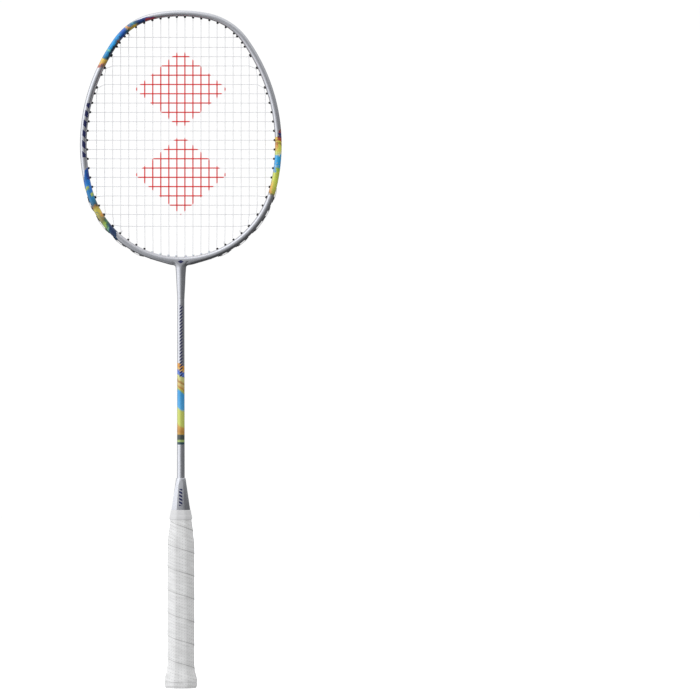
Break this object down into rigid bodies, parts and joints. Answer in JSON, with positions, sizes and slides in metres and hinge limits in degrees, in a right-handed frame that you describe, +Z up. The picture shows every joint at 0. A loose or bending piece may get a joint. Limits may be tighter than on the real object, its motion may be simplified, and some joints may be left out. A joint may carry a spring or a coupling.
{
  "type": "badminton racket",
  "caption": "Strung badminton racket: hollow oval head with a woven string bed in grommets, slim shaft, cone cap, wrapped octagonal handle and flared butt cap.",
  "frame": {"origin": "centre of the butt end's flat face, at the bottom of the handle", "axes": "+Z up the shaft to the crown of the head, +X across the head in the string plane to the right, +Y through the string bed, away from the viewer"},
  "size_m": [0.201, 0.0302, 0.675],
  "materials": {
    "frame_paint": "satin metallic silver lacquer",
    "moulded_carbon": "bare moulded carbon and resin",
    "cap_paint": "silver metallic lacquer",
    "handle_wood": "sanded bare wood",
    "pin_steel": "drawn wire",
    "butt_plastic": "satin moulded",
    "badge": "brushed metallic disc",
    "grip_wrap": "perforated synthetic leather, satin",
    "end_tape": "satin vinyl-coated cloth",
    "string": "coated multifilament nylon",
    "grommet_black": "moulded nylon",
    "grommet_clear": "natural moulded nylon"
  },
  "bodies": {
    "root": {"head_frame": "frame_paint", "t_joint": "moulded_carbon", "shaft": "frame_paint", "cone_cap": "cap_paint", "handle_core": "handle_wood", "handle_pin": "pin_steel", "butt_cap": "butt_plastic", "butt_badge": "badge", "grip_tape": "grip_wrap", "finishing_tape": "end_tape", "main_string": "string", "cross_string": "string", "main_knots": "string", "cross_knots": "string", "crown_grommets": "grommet_black", "left_grommets": "grommet_black", "right_grommets": "grommet_black", "lower_grommets": "grommet_black", "throat_grommets": "grommet_clear", "left_shared_grommets": "grommet_black", "right_shared_grommets": "grommet_black"}
  },
  "joints": []
}
